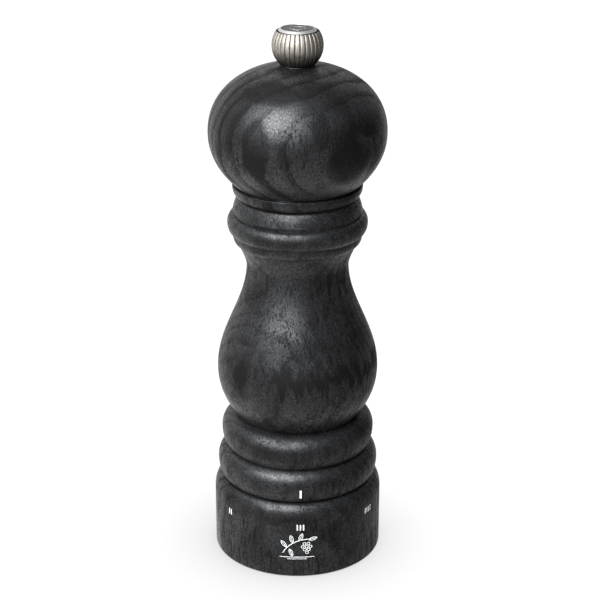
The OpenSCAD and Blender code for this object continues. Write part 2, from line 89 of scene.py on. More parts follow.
def quarter(crest, root, steps=18):
    """A quarter ellipse from a crest, where the wall is upright, in to a groove."""
    (cr, cz), (rr, rz) = crest, root
    turns = [math.pi / 2 * i / steps for i in range(steps + 1)]
    return [(rr + (cr - rr) * math.cos(a), cz + (rz - cz) * math.sin(a)) for a in turns]


def shoulder(edge, root, start, steps=16):
    """A part of a quarter ellipse that leaves a sharp edge already leaning in by an angle."""
    (er, ez), (rr, rz) = edge, root
    wide, low = math.cos(math.radians(start)), math.sin(math.radians(start))
    turns = [math.radians(start + (90 - start) * i / steps) for i in range(steps + 1)]
    return [(rr + (er - rr) * math.cos(a) / wide, ez + (rz - ez) * (math.sin(a) - low) / (1 - low))
            for a in turns]


def rise(root, crest, steps=18):
    """The same quarter ellipse, cut from the groove out to the crest."""
    return quarter(crest, root, steps)[::-1]


def swell(crest, edge, power, steps=26):
    """A full curve from its edge to its crest."""
    (cr, cz), (er, ez) = crest, edge
    shares = [1 - i / steps for i in range(steps + 1)]
    return [(cr + (er - cr) * t ** power, cz + (ez - cz) * t) for t in shares]


def s_curve(low, high, steps=46):
    """A long ogee between two places where the wall is upright."""
    (lr, lz), (hr, hz) = low, high
    shares = [i / steps for i in range(steps + 1)]
    return [(lr + (hr - lr) * (1 - math.cos(math.pi * t)) / 2, lz + (hz - lz) * t) for t in shares]


def dome(crest_r, crest_z, top_z, from_r, steps=44):
    """The cap of the head, from its crest in to a given radius."""
    last = math.acos((from_r / crest_r) ** (FULLNESS / 2))
    turns = [last * i / steps for i in range(steps + 1)]
    power = 2 / FULLNESS
    return [(crest_r * math.cos(a) ** power, crest_z + (top_z - crest_z) * math.sin(a) ** power)
            for a in turns]


# ---------------------------------------------------------------------------------------------
# Workshop moves
# ---------------------------------------------------------------------------------------------

def clear_bench():
    """Leaves edit mode and deselects everything."""
    if bpy.context.object is not None and bpy.context.object.mode != "OBJECT":
        bpy.ops.object.mode_set(mode="OBJECT")
    bpy.ops.object.select_all(action="DESELECT")


def take(piece):
    """Selects one piece alone and makes it the active one."""
    clear_bench()
    piece.select_set(True)
    bpy.context.view_layer.objects.active = piece


def edit(piece, kind="VERT"):
    """Opens a piece in edit mode with nothing selected."""
    take(piece)
    bpy.ops.object.mode_set(mode="EDIT")
    bpy.ops.mesh.select_mode(type=kind)
    bpy.ops.mesh.select_all(action="DESELECT")


def settle(piece):
    """Puts a piece's place, turn and scale into its mesh."""
    take(piece)
    bpy.ops.object.transform_apply(location=True, rotation=True, scale=True)
    return piece


def first_point(name, point, front=0.0):
    """A new piece that is a single vertex, open in edit mode with that vertex selected."""
    clear_bench()
    bpy.ops.mesh.primitive_plane_add(size=MM)
    piece = bpy.context.object
    piece.name = name
    bpy.ops.object.mode_set(mode="EDIT")
    bpy.ops.mesh.select_mode(type="VERT")
    bpy.ops.mesh.select_all(action="SELECT")
    bpy.ops.mesh.merge(type="CENTER")
    bpy.ops.transform.translate(value=(point[0] * MM, -front * MM, point[1] * MM))
    return piece


def draw(name, outline):
    """Extrudes a chain of edges through the outline, in the plane through the axis."""
    piece = first_point(name, outline[0])
    for here, there in zip(outline, outline[1:]):
        step = ((there[0] - here[0]) * MM, 0, (there[1] - here[1]) * MM)
        bpy.ops.mesh.extrude_region_move(TRANSFORM_OT_translate={"value": step})
    return piece


def weld(threshold=2e-6):
    """Merges doubles and turns every face outward, in edit mode."""
    bpy.ops.mesh.select_all(action="SELECT")
    bpy.ops.mesh.remove_doubles(threshold=threshold)
    bpy.ops.mesh.normals_make_consistent(inside=False)
    bpy.ops.mesh.select_all(action="DESELECT")


def turn(name, outline, steps=128, smooth=35):
    """Turns an outline on the mill's axis. An outline that ends where it starts makes a ring."""
    piece = draw(name, outline)
    bpy.ops.mesh.select_all(action="SELECT")
    bpy.ops.mesh.spin(steps=steps, angle=math.tau, center=(0, 0, 0), axis=(0, 0, 1))
    weld()
    bpy.ops.object.mode_set(mode="OBJECT")
    take(piece)
    bpy.ops.object.shade_smooth_by_angle(angle=math.radians(smooth))
    return piece


def keep(piece, modifier):
    """Applies a modifier."""
    take(piece)
    bpy.ops.object.modifier_apply(modifier=modifier.name)


def join(pieces, name):
    """Joins several pieces into one mesh."""
    clear_bench()
    for piece in pieces:
        piece.select_set(True)
    bpy.context.view_layer.objects.active = pieces[0]
    if len(pieces) > 1:
        bpy.ops.object.join()
    pieces[0].name = name
    return pieces[0]


def finish_faces(piece, second, chosen):
    """Gives the faces that chosen() picks, by centre, a second material."""
    piece.data.materials.append(second)
    for face in piece.data.polygons:
        if chosen(face.center / MM):
            face.material_index = len(piece.data.materials) - 1


# ---------------------------------------------------------------------------------------------
# Finishes
# ---------------------------------------------------------------------------------------------

TREE_LEAN = 0.06

# in millimetres: the heights between which hands hold the mill, and the span of the belt's ramps
GRIP = (58, 104)
CASE_SPAN = 60


class Signal:
    """A value, colour or direction that runs from one node to the next."""

    def __init__(self, finish, socket):
        self.finish = finish
        self.socket = socket

    def __add__(self, other):
        return self.finish.maths("ADD", self, other)

    def __radd__(self, other):
        return self.finish.maths("ADD", other, self)

    def __sub__(self, other):
        return self.finish.maths("SUBTRACT", self, other)

    def __rsub__(self, other):
        return self.finish.maths("SUBTRACT", other, self)

    def __mul__(self, other):
        return self.finish.maths("MULTIPLY", self, other)

    def __truediv__(self, other):
        return self.finish.maths("DIVIDE", self, other)

    def __pow__(self, other):
        return self.finish.maths("POWER", self, other)

    def most(self, other):
        return self.finish.maths("MAXIMUM", self, other)

    def least(self, other):
        return self.finish.maths("MINIMUM", self, other)

    def sine(self):
        return self.finish.maths("SINE", self)

    def part(self):
        return self.finish.maths("FRACT", self)


class Nodes:
    """A node tree, and the ways to add to it."""

    def __init__(self, tree):
        self.tree = tree

    def link(self, source, target):
        """Feeds a socket from a signal, or sets it to a plain value."""
        if isinstance(source, Signal):
            self.tree.links.new(source.socket, target)
        else:
            target.default_value = source

    def add(self, kind, settings=None, stops=None, out=0, sockets=None):
        """Adds any node: its settings first, then a ramp's stops, then its sockets."""
        node = self.tree.nodes.new(kind)
        for key, value in (settings or {}).items():
            setattr(node, key, value)
        if stops:
            ramp = node.color_ramp
            while len(ramp.elements) < len(stops):
                ramp.elements.new(0.5)
            for element, (position, value) in zip(ramp.elements, stops):
                element.position = position
                element.color = (*value, 1) if isinstance(value, tuple) else (value, value, value, 1)
        for key, value in (sockets or {}).items():
            self.link(value, node.inputs[key])
        return None if out is None else Signal(self, node.outputs[out])

    def maths(self, operation, *values):
        """A Math node."""
        sockets = dict(enumerate(values))
        return self.add("ShaderNodeMath", {"operation": operation}, sockets=sockets)

    def mix(self, amount, first, second, blend="MIX"):
        """Mixes two colours."""
        settings = {"data_type": "RGBA", "blend_type": blend}
        return self.add("ShaderNodeMix", settings, out=2, sockets={0: amount, 6: first, 7: second})

    def ramp(self, value, *stops, ease="LINEAR"):
        """A colour ramp, or a grey one when its stops are plain numbers."""
        signal = self.add("ShaderNodeValToRGB", stops=stops, sockets={0: value})
        signal.socket.node.color_ramp.interpolation = ease
        return signal

    def stretched(self, scale, shift=(0, 0, 0)):
        """The piece's own coordinates in millimetres, stretched and shifted."""
        sizes = tuple(s / MM for s in scale)
        place = self.add("ShaderNodeTexCoord", out="Object")
        sockets = {"Vector": place, "Scale": sizes, "Location": shift}
        return self.add("ShaderNodeMapping", sockets=sockets)

    def noise(self, where, detail=2.0, rough=0.5, warp=0.0):
        """Cloudy noise from 0 to 1."""
        sockets = {"Vector": where, "Scale": 1.0, "Detail": detail, "Roughness": rough,
                   "Distortion": warp}
        return self.add("ShaderNodeTexNoise", sockets=sockets)

    def cells(self, where):
        """Distance to the nearest of many scattered points."""
        return self.add("ShaderNodeTexVoronoi", sockets={"Vector": where, "Scale": 1.0})

    def axes(self, where):
        """The three parts of a vector."""
        node = self.add("ShaderNodeSeparateXYZ", sockets={0: where}).socket.node
        return [Signal(self, output) for output in node.outputs]


class Finish(Nodes):
    """One material: a Principled shader and the nodes that feed it."""

    def __init__(self, name, **constants):
        self.material = bpy.data.materials.new(name)
        self.material.use_nodes = True
        super().__init__(self.material.node_tree)
        self.shader = self.tree.nodes["Principled BSDF"]
        for socket, value in constants.items():
            self.shader.inputs[socket.replace("_", " ")].default_value = value

    def bump(self, height, distance, strength=1.0):
        """Feeds the shader's normal from a height in millimetres."""
        sockets = {"Height": height, "Distance": distance * MM, "Strength": strength}
        normal = self.add("ShaderNodeBump", sockets=sockets)
        self.link(normal, self.shader.inputs["Normal"])

    def feed(self, **signals):
        """Feeds the shader's sockets."""
        for socket, signal in signals.items():
            self.link(signal, self.shader.inputs[socket.replace("_", " ")])
        return self.material


def stained_beech(name, heart, seed, ring_w, bold, drunk=None, blots=()):
    """Beech stained graphite and waxed. heart is the tree's centre, from the mill's axis, in mm.

    bold is the strength of the rings, drunk the height of a belt that drank more stain, and blots
    the dark spots, each with its place, its width and its height.
    """
    f = Finish(name, Specular_IOR_Level=0.22, Coat_Roughness=0.36)
    place = f.axes(f.stretched((1, 1, 1)))
    late, ragged = growth_rings(f, place, heart, seed, ring_w)
    patch = stain_patches(f, seed)
    dashes = wood_dashes(f, seed)
    if drunk:
        belt = stain_belt(f, place, drunk, seed)
        dashes = (dashes + belt + stain_streaks(f, place, drunk, seed)).least(1.0)
    spots = stain_spots(f, place, blots, ragged)

    # fine grain that glints in the wax
    grit = f.noise(f.stretched((1.9, 1.9, 1.5)), detail=2.0, rough=0.7)
    fine = f.noise(f.stretched((4.6, 4.6, 3.4)), detail=1.0)
    speck = f.ramp(grit, (0.36, 0.0), (0.64, 1.0))

    # hands dull the wax round the grip
    low, high = GRIP
    handled = f.ramp((place[2] - low) / (high - low), (0.0, 0.0), (0.2, 1.0), (0.8, 1.0), (1.0, 0.0))

    dark = (late * bold + patch * 0.6 + dashes * 0.85 + spots * 0.8).least(1.0)
    shade = f.ramp(dark, (0.0, (0.0112, 0.0113, 0.0118)), (0.5, (0.0062, 0.0060, 0.0063)),
                   (1.0, (0.0025, 0.0023, 0.0024)))
    colour = f.mix(1.0, shade, f.ramp(speck, (0.0, 0.35), (0.5, 0.95), (1.0, 1.9)), "MULTIPLY")
    rough = 0.40 + handled * 0.07 + dark * 0.15 - (speck - 0.5) * 0.2
    wax = (1 - dark * 0.97) * (speck * 0.8 + 0.35) * (1 - handled * 0.25)
    height = grit * 0.9 + fine * 0.45 - dashes * 0.7 - late * 0.15
    f.bump(height, 0.13, 1.0)
    return f.feed(Base_Color=colour, Roughness=rough, Coat_Weight=wax.least(1.0))


def growth_rings(f, place, heart, seed, ring_w):
    """Rings cut through by the turning, and the raggedness that the blots' edges share with them."""
    x, y, z = place
    drift = f.noise(f.stretched((0.03, 0.03, 0.02), shift=(seed, 0, 0)), detail=2.0, rough=0.5)
    wobble = f.noise(f.stretched((0.16, 0.16, 0.07), shift=(0, seed, 0)), detail=3.0)
    away_x = x - heart[0] + z * TREE_LEAN
    away_y = y - heart[1]
    distance = (away_x * away_x + away_y * away_y) ** 0.5
    ring = ((distance + drift * 17 + wobble * 1.6) / ring_w).part()
    late = f.ramp(ring, (0.0, 0.1), (0.12, 0.0), (0.5, 0.05), (0.8, 0.75), (0.94, 1.0), (1.0, 0.1))
    fade = f.noise(f.stretched((0.05, 0.05, 0.04), shift=(0, 0, seed * 2)), detail=3.0)
    late = late * f.ramp(fade, (0.34, 0.25), (0.56, 1.0))
    return late, (fade - 0.5) * 1.5 + (wobble - 0.5) * 0.5


def stain_patches(f, seed):
    """Patches where end grain drank more of the stain."""
    where = f.stretched((0.075, 0.075, 0.05), shift=(seed, seed, 0))
    patch = f.noise(where, detail=5.0, rough=0.62, warp=0.7)
    return f.ramp(patch, (0.48, 0.0), (0.56, 0.6), (0.66, 1.0))


def wood_dashes(f, seed):
    """Rays and pores: short dark dashes along the grain, in drifts."""
    dash = f.noise(f.stretched((1.5, 1.5, 0.2), shift=(0, 0, seed)), detail=2.0, rough=0.6)
    dash = f.ramp(dash, (0.55, 0.0), (0.64, 1.0))
    group = f.noise(f.stretched((0.075, 0.075, 0.075), shift=(seed, 0, seed)), detail=3.0)
    group = f.ramp(group, (0.47, 0.0), (0.6, 1.0))
    return dash * (group * 0.9 + 0.1)


def stain_belt(f, place, middle, seed):
    """A ragged dark belt round the belly, weaker on the left."""
    x, z = place[0], place[2]
    smear = f.noise(f.stretched((0.3, 0.3, 0.05), shift=(seed, seed, seed)), detail=4.0, rough=0.7)
    edge = (z - middle) / 24 + 0.5 + (smear - 0.5) * 1.1
    belt = f.ramp(edge, (0.34, 0.0), (0.4, 1.0), (0.5, 1.0), (0.68, 0.0))
    return belt * f.ramp(x / CASE_SPAN + 0.5, (0.2, 0.1), (0.45, 1.0))


def stain_streaks(f, place, low, seed):
    """Long dark streaks up the right side, from the belt."""
    x, z = place[0], place[2]
    streak = f.noise(f.stretched((0.62, 0.62, 0.07), shift=(0, seed, seed)), detail=4.0, rough=0.75)
    side = f.ramp(x / CASE_SPAN + 0.5, (0.5, 0.0), (0.58, 1.0), (0.78, 1.0), (0.9, 0.2))
    reach = f.ramp((z - low) / CASE_SPAN, (0.0, 0.5), (0.2, 0.6), (0.4, 1.0), (0.5, 1.0), (0.58, 0.0))
    return side * reach * 1.2 * f.ramp(streak, (0.53, 0.0), (0.57, 1.0))


def stain_spots(f, place, blots, ragged):
    """Round dark spots with ragged edges."""
    x, y, z = place
    spots = 0.0
    for bx, by, bz, wide, tall in blots:
        gap_x, gap_y, gap_z = (x - bx) / wide, (y - by) / wide, (z - bz) / tall
        gap = (gap_x * gap_x + gap_y * gap_y + gap_z * gap_z) ** 0.5 + ragged
        spots = f.ramp(gap * 0.5, (0.27, 1.0), (0.47, 0.72), (0.62, 0.0)) + spots
    return spots


def raw_beech():
    """Bare beech inside the bores, with its pink-brown rays."""
    f = Finish("raw_beech", Specular_IOR_Level=0.35)
    x, y = f.axes(f.stretched((1, 1, 1)))[:2]
    drift = f.noise(f.stretched((0.1, 0.1, 0.03)), detail=3.0)
    ring = ((x + y * 0.3 + drift * 9) / 2.6).part()
    fleck = f.noise(f.stretched((1.6, 1.6, 0.22)), detail=2.0)
    fleck = f.ramp(fleck, (0.55, 0.0), (0.66, 1.0))
    tone = f.ramp(ring, (0.0, (0.52, 0.34, 0.20)), (0.8, (0.43, 0.265, 0.15)), (1.0, (0.34, 0.20, 0.11)))
    colour = f.mix(fleck * 0.55, tone, (0.26, 0.14, 0.075, 1))
    grain = f.noise(f.stretched((5, 5, 1.2)), detail=3.0)
    f.bump(grain - fleck * 0.4, 0.05, 0.8)
    return f.feed(Base_Color=colour, Roughness=0.62 + grain * 0.15)


def moulded_nylon():
    """Black glass-filled nylon with a fine spark-eroded skin."""
    f = Finish("black_nylon", Specular_IOR_Level=0.5)
    skin = f.cells(f.stretched((4.5, 4.5, 4.5)))
    flow = f.noise(f.stretched((0.12, 0.12, 0.3)), detail=4.0)
    base = f.ramp(flow, (0.3, (0.012, 0.012, 0.0126)), (0.7, (0.0204, 0.0204, 0.0216)))
    f.bump(skin, 0.02, 0.6)
    return f.feed(Base_Color=base, Roughness=0.42 + flow * 0.2)


def drawn_steel(name, tint=(0.58, 0.57, 0.55), rough=0.3, along=(9, 9, 0.35)):
    """Bright steel with fine lines along its length and a few duller clouds."""
    f = Finish(name, Metallic=1.0)
    lines = f.noise(f.stretched(along), detail=3.0, rough=0.6)
    cloud = f.noise(f.stretched((0.3, 0.3, 0.3)), detail=4.0, rough=0.6)
    dull = tuple(c * 0.62 for c in tint)
    base = f.mix(f.ramp(cloud, (0.35, 0.0), (0.75, 0.35)), (*tint, 1), (*dull, 1))
    f.bump(lines, 0.008, 0.6)
    return f.feed(Base_Color=base, Roughness=rough + cloud * 0.14 + (lines - 0.5) * 0.12)


def burr_steel():
    """Case-hardened burr steel, oiled and almost black, with a few lighter clouds."""
    f = Finish("burr_steel", Metallic=1.0)
    cloud = f.noise(f.stretched((0.5, 0.5, 0.5)), detail=5.0, rough=0.65)
    cut = f.noise(f.stretched((2.5, 2.5, 7)), detail=2.0)
    base = f.ramp(cloud, (0.3, (0.13, 0.13, 0.135)), (0.6, (0.22, 0.215, 0.21)), (0.8, (0.3, 0.27, 0.24)))
    f.bump(cut + cloud, 0.03, 0.6)
    return f.feed(Base_Color=base, Roughness=0.34 + cloud * 0.25)


def brass(name, tint, rough=0.28):
    """Turned brass or bronze, with tool lines round it and a little tarnish."""
    f = Finish(name, Metallic=1.0)
    tool = f.noise(f.stretched((0.6, 0.6, 12)), detail=2.0)
    tarnish = f.noise(f.stretched((0.5, 0.5, 0.5)), detail=4.0)
    dull = tuple(c * s for c, s in zip(tint, (0.55, 0.5, 0.45)))
    base = f.mix(f.ramp(tarnish, (0.4, 0.0), (0.75, 0.7)), (*tint, 1), (*dull, 1))
    f.bump(tool, 0.012, 0.6)
    return f.feed(Base_Color=base, Roughness=rough + tarnish * 0.2)


def knob_nickel():
    """Warm satin nickel, with painted shade in the grooves between the ribs, towards the bottom of the knob
    and a little near its top.
    """
    f = Finish("knob_nickel", Metallic=1.0)
    x, y, z = f.axes(f.stretched((1, 1, 1)))
    height = z - KNOB_MID_Z
    out = (x * x + y * y + height * height) ** 0.5
    # painted shade: the nickel darkens the deeper it lies in a groove between the ribs
    painted_groove_shade = f.ramp((out - (KNOB_R - RIB_DEPTH)) / RIB_DEPTH, (0.0, 1.0), (0.35, 0.8), (0.8, 0.0))
    cast = f.noise(f.stretched((0.9, 0.9, 0.5)), detail=4.0, rough=0.6)
    pit = f.cells(f.stretched((1.6, 1.6, 1.1)))
    pit = f.ramp(pit, (0.05, 1.0), (0.16, 0.0))
    tone = f.ramp(cast, (0.3, (0.36, 0.328, 0.282)), (0.7, (0.48, 0.445, 0.39)))
    # painted shade: darker towards the bottom of the knob, and a little darker near its top
    painted_height_shade = f.ramp(height / (2 * KNOB_R) + cast * 0.12 + 0.44, (0.19, 0.16), (0.35, 0.5), (0.48, 1.0),
                  (0.68, 1.0), (0.85, 0.6))
    tone = f.mix(1.0, tone, painted_height_shade, "MULTIPLY")
    # the painted groove shade and the real casting pits both mix in this dark colour
    colour = f.mix((painted_groove_shade + pit * 0.35).least(1.0), tone, (0.085, 0.072, 0.06, 1))
    f.bump(cast * 0.6 - pit * 0.4, 0.02, 0.8)
    return f.feed(Base_Color=colour, Roughness=0.5 + cast * 0.14 + painted_groove_shade * 0.2)


def rim_nickel():
    """The knob's polished bevel."""
    f = Finish("rim_nickel", Metallic=0.85)
    scuff = f.noise(f.stretched((2.2, 2.2, 2.2)), detail=4.0)
    base = f.ramp(scuff, (0.3, (0.62, 0.61, 0.59)), (0.7, (0.70, 0.69, 0.67)))
    f.bump(scuff, 0.006, 0.5)
    return f.feed(Base_Color=base, Roughness=0.42 + scuff * 0.1)


def disc_nickel():
    """The disc in the knob: blasted darker, with fine turning lines."""
    f = Finish("disc_nickel", Metallic=1.0)
    x, y, z = f.axes(f.stretched((1, 1, 1)))
    out = (x * x + y * y) ** 0.5
    lines = (out * 34).sine() * 0.5 + 0.5
    blast = f.noise(f.stretched((5, 5, 5)), detail=2.0)
    base = f.ramp(blast, (0.3, (0.15, 0.149, 0.147)), (0.7, (0.27, 0.266, 0.26)))
    raised = f.ramp((z - TOTAL_H) / 0.2 + 0.75, (0.1, 0.0), (0.3, 1.0))
    base = f.mix(raised, base, (0.62, 0.61, 0.59, 1))
    f.bump(blast * 0.8 + lines * 0.3, 0.015, 0.7)
    return f.feed(Base_Color=base, Roughness=0.36 + blast * 0.16)


def white_ink():
    """Pad-printed white, a little thin over the grain."""
    f = Finish("white_ink", Specular_IOR_Level=0.4)
    thin = f.noise(f.stretched((3.5, 3.5, 2.5)), detail=3.0)
    base = f.ramp(thin, (0.3, (0.62, 0.62, 0.61)), (0.55, (0.84, 0.84, 0.83)))
    return f.feed(Base_Color=base, Roughness=0.5 + thin * 0.15)


# ---------------------------------------------------------------------------------------------
# The turned case
# ---------------------------------------------------------------------------------------------

HALF_GAP = CASE_GAP / 2
RING_BORE_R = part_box("adjuster_insert")[1].x / MM + 0.05
BODY_RECESS_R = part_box("mechanism_housing")[1].x / MM + 0.1
BODY_RECESS_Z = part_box("bearing_bridge")[1].z / MM + 0.2
CHAMBER_R = 12.5
TENON_R = 14.3
TENON_Z = NECK_SPLIT_Z - TENON_L
SOCKET_R = TENON_R + 0.3
SOCKET_Z = TENON_Z - 1.7
SHAFT_HOLE_R = 4.0
SEAT_R = 2 * KNOB_R / 3
SEAT_Z = TOTAL_H - 12.1


def foot_ring():
    """The foot ring that sets the grind."""
    top = SPLIT_Z - HALF_GAP
    outline = [(RING_BORE_R, 0.35), (RING_BORE_R + 0.35, 0)]
    outline += rise((FOOT_R - FOOT_ROUND, 0), (FOOT_R, FOOT_ROUND), 8)
    outline += [(FOOT_R, 5 * i) for i in (1, 2, 3)]
    outline += quarter((FOOT_R, SKIRT_Z), (SPLIT_R, top), 22)
    outline += [(RING_BORE_R, top), (RING_BORE_R, 0.35)]
    piece = turn("foot_ring", outline)
    piece.data.materials.append(stained_beech("stained_beech_foot", (26, 52), 31, 3.6, 0.5))
    finish_faces(piece, RAW, lambda c: math.hypot(c.x, c.y) < RING_BORE_R + TOLERANCE)
    return piece


def mill_body():
    """The body: two beads, belly, waist and neck ring round the pepper chamber."""
    low, high = SPLIT_Z + HALF_GAP, NECK_SPLIT_Z - HALF_GAP
    outline = [(BODY_RECESS_R, low)]
    outline += rise((SPLIT_R, low), (LOW_BEAD_R, LOW_BEAD_Z))
    outline += quarter((LOW_BEAD_R, LOW_BEAD_Z), (MID_GROOVE_R, MID_GROOVE_Z))[1:]
    outline += rise((MID_GROOVE_R, MID_GROOVE_Z), (HIGH_BEAD_R, HIGH_BEAD_Z))[1:]
    outline += quarter((HIGH_BEAD_R, HIGH_BEAD_Z), (BELLY_GROOVE_R, BELLY_GROOVE_Z))[1:]
    outline += swell((BELLY_R, BELLY_Z), (BELLY_GROOVE_R, BELLY_GROOVE_Z), FULLNESS)[1:]
    outline += s_curve((BELLY_R, BELLY_Z), (WAIST_R, WAIST_Z))[1:]
    outline += swell((WAIST_R, WAIST_Z), (FLARE_R, FLARE_Z), FLARE_CURVE, 12)[::-1][1:]
    outline += rise((FLARE_R, FLARE_Z), (NECK_ROUND_R, NECK_ROUND_Z), 10)[1:]
    outline += rise((NECK_ROUND_R, NECK_RING_Z - NECK_RING_H), (NECK_RING_R, NECK_RING_Z))
    band_r = NECK_ROUND_R - NECK_BAND_DEPTH
    outline += quarter((NECK_RING_R, NECK_RING_Z), (band_r, NECK_BAND_Z))[1:]
    outline.append((band_r, NECK_BAND_TOP_Z))
    outline += shoulder((NECK_ROUND_R, NECK_CAP_Z), (NECK_GROOVE_R, high), CAP_LEAN)
    outline += [(SOCKET_R, high), (SOCKET_R, SOCKET_Z), (CHAMBER_R, SOCKET_Z)]
    outline += [(CHAMBER_R, z) for z in (100, 85, 70, 55, 42)]
    outline += [(CHAMBER_R, BODY_RECESS_Z), (BODY_RECESS_R, BODY_RECESS_Z), (BODY_RECESS_R, low)]
    piece = turn("mill_body", outline)
    blots = ((-19, -18, 69, 3, 5), (-19, -17, 80, 3.5, 1.2))
    piece.data.materials.append(stained_beech("stained_beech_body", (31, 39), 7, 2.8, 0.4, 70, blots))
    finish_faces(piece, RAW, lambda c: inside_body(c, low, high))
    return piece


def inside_body(centre, low, high):
    """True for the bores, the recess and the chamber of the body."""
    out = math.hypot(centre.x, centre.y)
    if centre.z < BODY_RECESS_Z + TOLERANCE:
        return out < BODY_RECESS_R + TOLERANCE and centre.z > low
    return out < SOCKET_R + TOLERANCE and centre.z < high


def mill_head():
    """The head: tenon, collar, lip groove, ball and dome."""
    low = NECK_SPLIT_Z + HALF_GAP
    groove_r = NECK_ROUND_R - LIP_GROOVE_DEPTH
    outline = [(SHAFT_HOLE_R, TENON_Z), (TENON_R - 0.3, TENON_Z), (TENON_R, TENON_Z + 0.3), (TENON_R, low)]
    outline += rise((NECK_GROOVE_R, low), (NECK_ROUND_R, low + COLLAR_ROUND))
    outline += [(NECK_ROUND_R, LIP_Z - LIP_GROOVE_H - 0.12), (NECK_ROUND_R - 0.1, LIP_Z - LIP_GROOVE_H)]
    outline += [(groove_r, LIP_Z - LIP_GROOVE_H), (groove_r, LIP_Z)]
    outline += swell((BALL_R, BALL_Z), (LIP_R, LIP_Z), FULLNESS, 36)
    outline += dome(BALL_R, BALL_Z, DOME_Z, SEAT_R)[1:]
    outline += [(SEAT_R, SEAT_Z), (SHAFT_HOLE_R, SEAT_Z)]
    outline += [(SHAFT_HOLE_R, z) for z in (155, 140, 128)] + [(SHAFT_HOLE_R, TENON_Z)]
    piece = turn("mill_head", outline)
    blots = ((-13, -25, 148, 4, 11), (16.5, -23, 144, 6.5, 7.5), (-8, -14, 163, 8, 2.5),
             (7, -26, 156, 2.6, 7))
    piece.data.materials.append(stained_beech("stained_beech_head", (-23, 33), 83, 6.0, 0.8, None, blots))
    finish_faces(piece, RAW, lambda c: bare_head(c, low))
    return piece


def bare_head(centre, low):
    """True for the tenon and the shaft's bore."""
    out = math.hypot(centre.x, centre.y)
    return out < SHAFT_HOLE_R + TOLERANCE or (centre.z < low + TOLERANCE and out < NECK_GROOVE_R - TOLERANCE)


# ---------------------------------------------------------------------------------------------
# The knob
# ---------------------------------------------------------------------------------------------

RIBS = 30
RIB_DEPTH = 0.5
RIB_FLATNESS = 5
BEVEL_H = 0.8
KNOB_BORE_R, KNOB_VENT_R = 4.0, 0.8
KNOB_FLOOR_T = 1.8
DISC_R = 5.15
DISC_T = 0.95
DISC_TOP_Z = TOTAL_H - 0.15
DOTS, DOTS_R, DOT_R = 8, 1.35, 0.19
RIM_Z = TOTAL_H - BEVEL_H
KNOB_MID_Z = RIM_Z - 0.56 * KNOB_R
KNOB_Z = TOTAL_H - 11.5
RIM_R = math.sqrt(KNOB_R ** 2 - (RIM_Z - KNOB_MID_Z) ** 2)
BASE_R = math.sqrt(KNOB_R ** 2 - (KNOB_Z - KNOB_MID_Z) ** 2)


def rib_profile(share):
    """The surface's radius over the knob's, at a share of the way from a rib's crest to its groove."""
    return 1 - RIB_DEPTH / KNOB_R * (1 - math.sqrt(max(0.0, 1 - share ** RIB_FLATNESS)))


def knob_ribs():
    """One rib, spun through its own sector, its columns drawn in to the grooves, then copied round."""
    low, high = math.asin((KNOB_Z - KNOB_MID_Z) / KNOB_R), math.asin((RIM_Z - KNOB_MID_Z) / KNOB_R)
    rows = 26
    angles = [low + (high - low) * i / rows for i in range(rows + 1)]
    outline = [(KNOB_R * math.cos(a), KNOB_MID_Z + KNOB_R * math.sin(a)) for a in angles]
    columns = 12
    sector = math.tau / RIBS
    piece = draw("knob_ribs", outline)
    bpy.ops.mesh.select_all(action="SELECT")
    bpy.ops.mesh.spin(steps=columns, angle=sector, center=(0, 0, 0), axis=(0, 0, 1))
    bpy.ops.object.mode_set(mode="OBJECT")
    for column in range(columns + 1):
        around = sector * column / columns
        share = abs(2 * column / columns - 1)
        edit(piece)
        bpy.ops.object.mode_set(mode="OBJECT")
        for vertex in piece.data.vertices:
            turned = math.atan2(vertex.co.y, vertex.co.x)
            vertex.select = abs(abs(turned) - around) < sector / columns / 3
        bpy.ops.object.mode_set(mode="EDIT")
        size = rib_profile(share)
        bpy.ops.transform.resize(value=(size, size, 1), center_override=(0, 0, 0))
        bpy.ops.object.mode_set(mode="OBJECT")
    copies = [piece]
    for i in range(1, RIBS):
        take(piece)
        bpy.ops.object.duplicate(linked=False)
        copy = bpy.context.object
        copy.rotation_euler.z = sector * i
        copies.append(settle(copy))
    whole = join(copies, "knob_ribs")
    edit(whole)
    weld(threshold=2e-5)
    bpy.ops.object.mode_set(mode="OBJECT")
    return whole


def knob_rim():
    """The polished bevel, the seat for the disc and the knob's bored underside."""
    disc_z = DISC_TOP_Z - DISC_T
    insert_top = disc_z - KNOB_FLOOR_T
    lip = [(DISC_R + 0.05, disc_z), (DISC_R + 0.05, TOTAL_H - 0.1), (DISC_R + 0.12, TOTAL_H)]
    bevel = [(DISC_R + 0.25, TOTAL_H), (RIM_R - 0.68, RIM_Z + 0.22), (RIM_R - 0.66, RIM_Z + 0.12),
             (RIM_R - 0.86, RIM_Z - 0.12)]
    under = [(RIM_R - 1.2, RIM_Z - 0.3), (BASE_R - 0.8, KNOB_Z + 0.5), (BASE_R - 0.62, KNOB_Z)]
    bore = [(KNOB_BORE_R + 0.3, KNOB_Z), (KNOB_BORE_R, KNOB_Z + 0.3), (KNOB_BORE_R, insert_top)]
    bore += [(KNOB_VENT_R, insert_top), (KNOB_VENT_R, disc_z)]
    outline = lip + bevel + under + bore + lip[:1]
    return turn("knob_rim", outline, 96, 30)


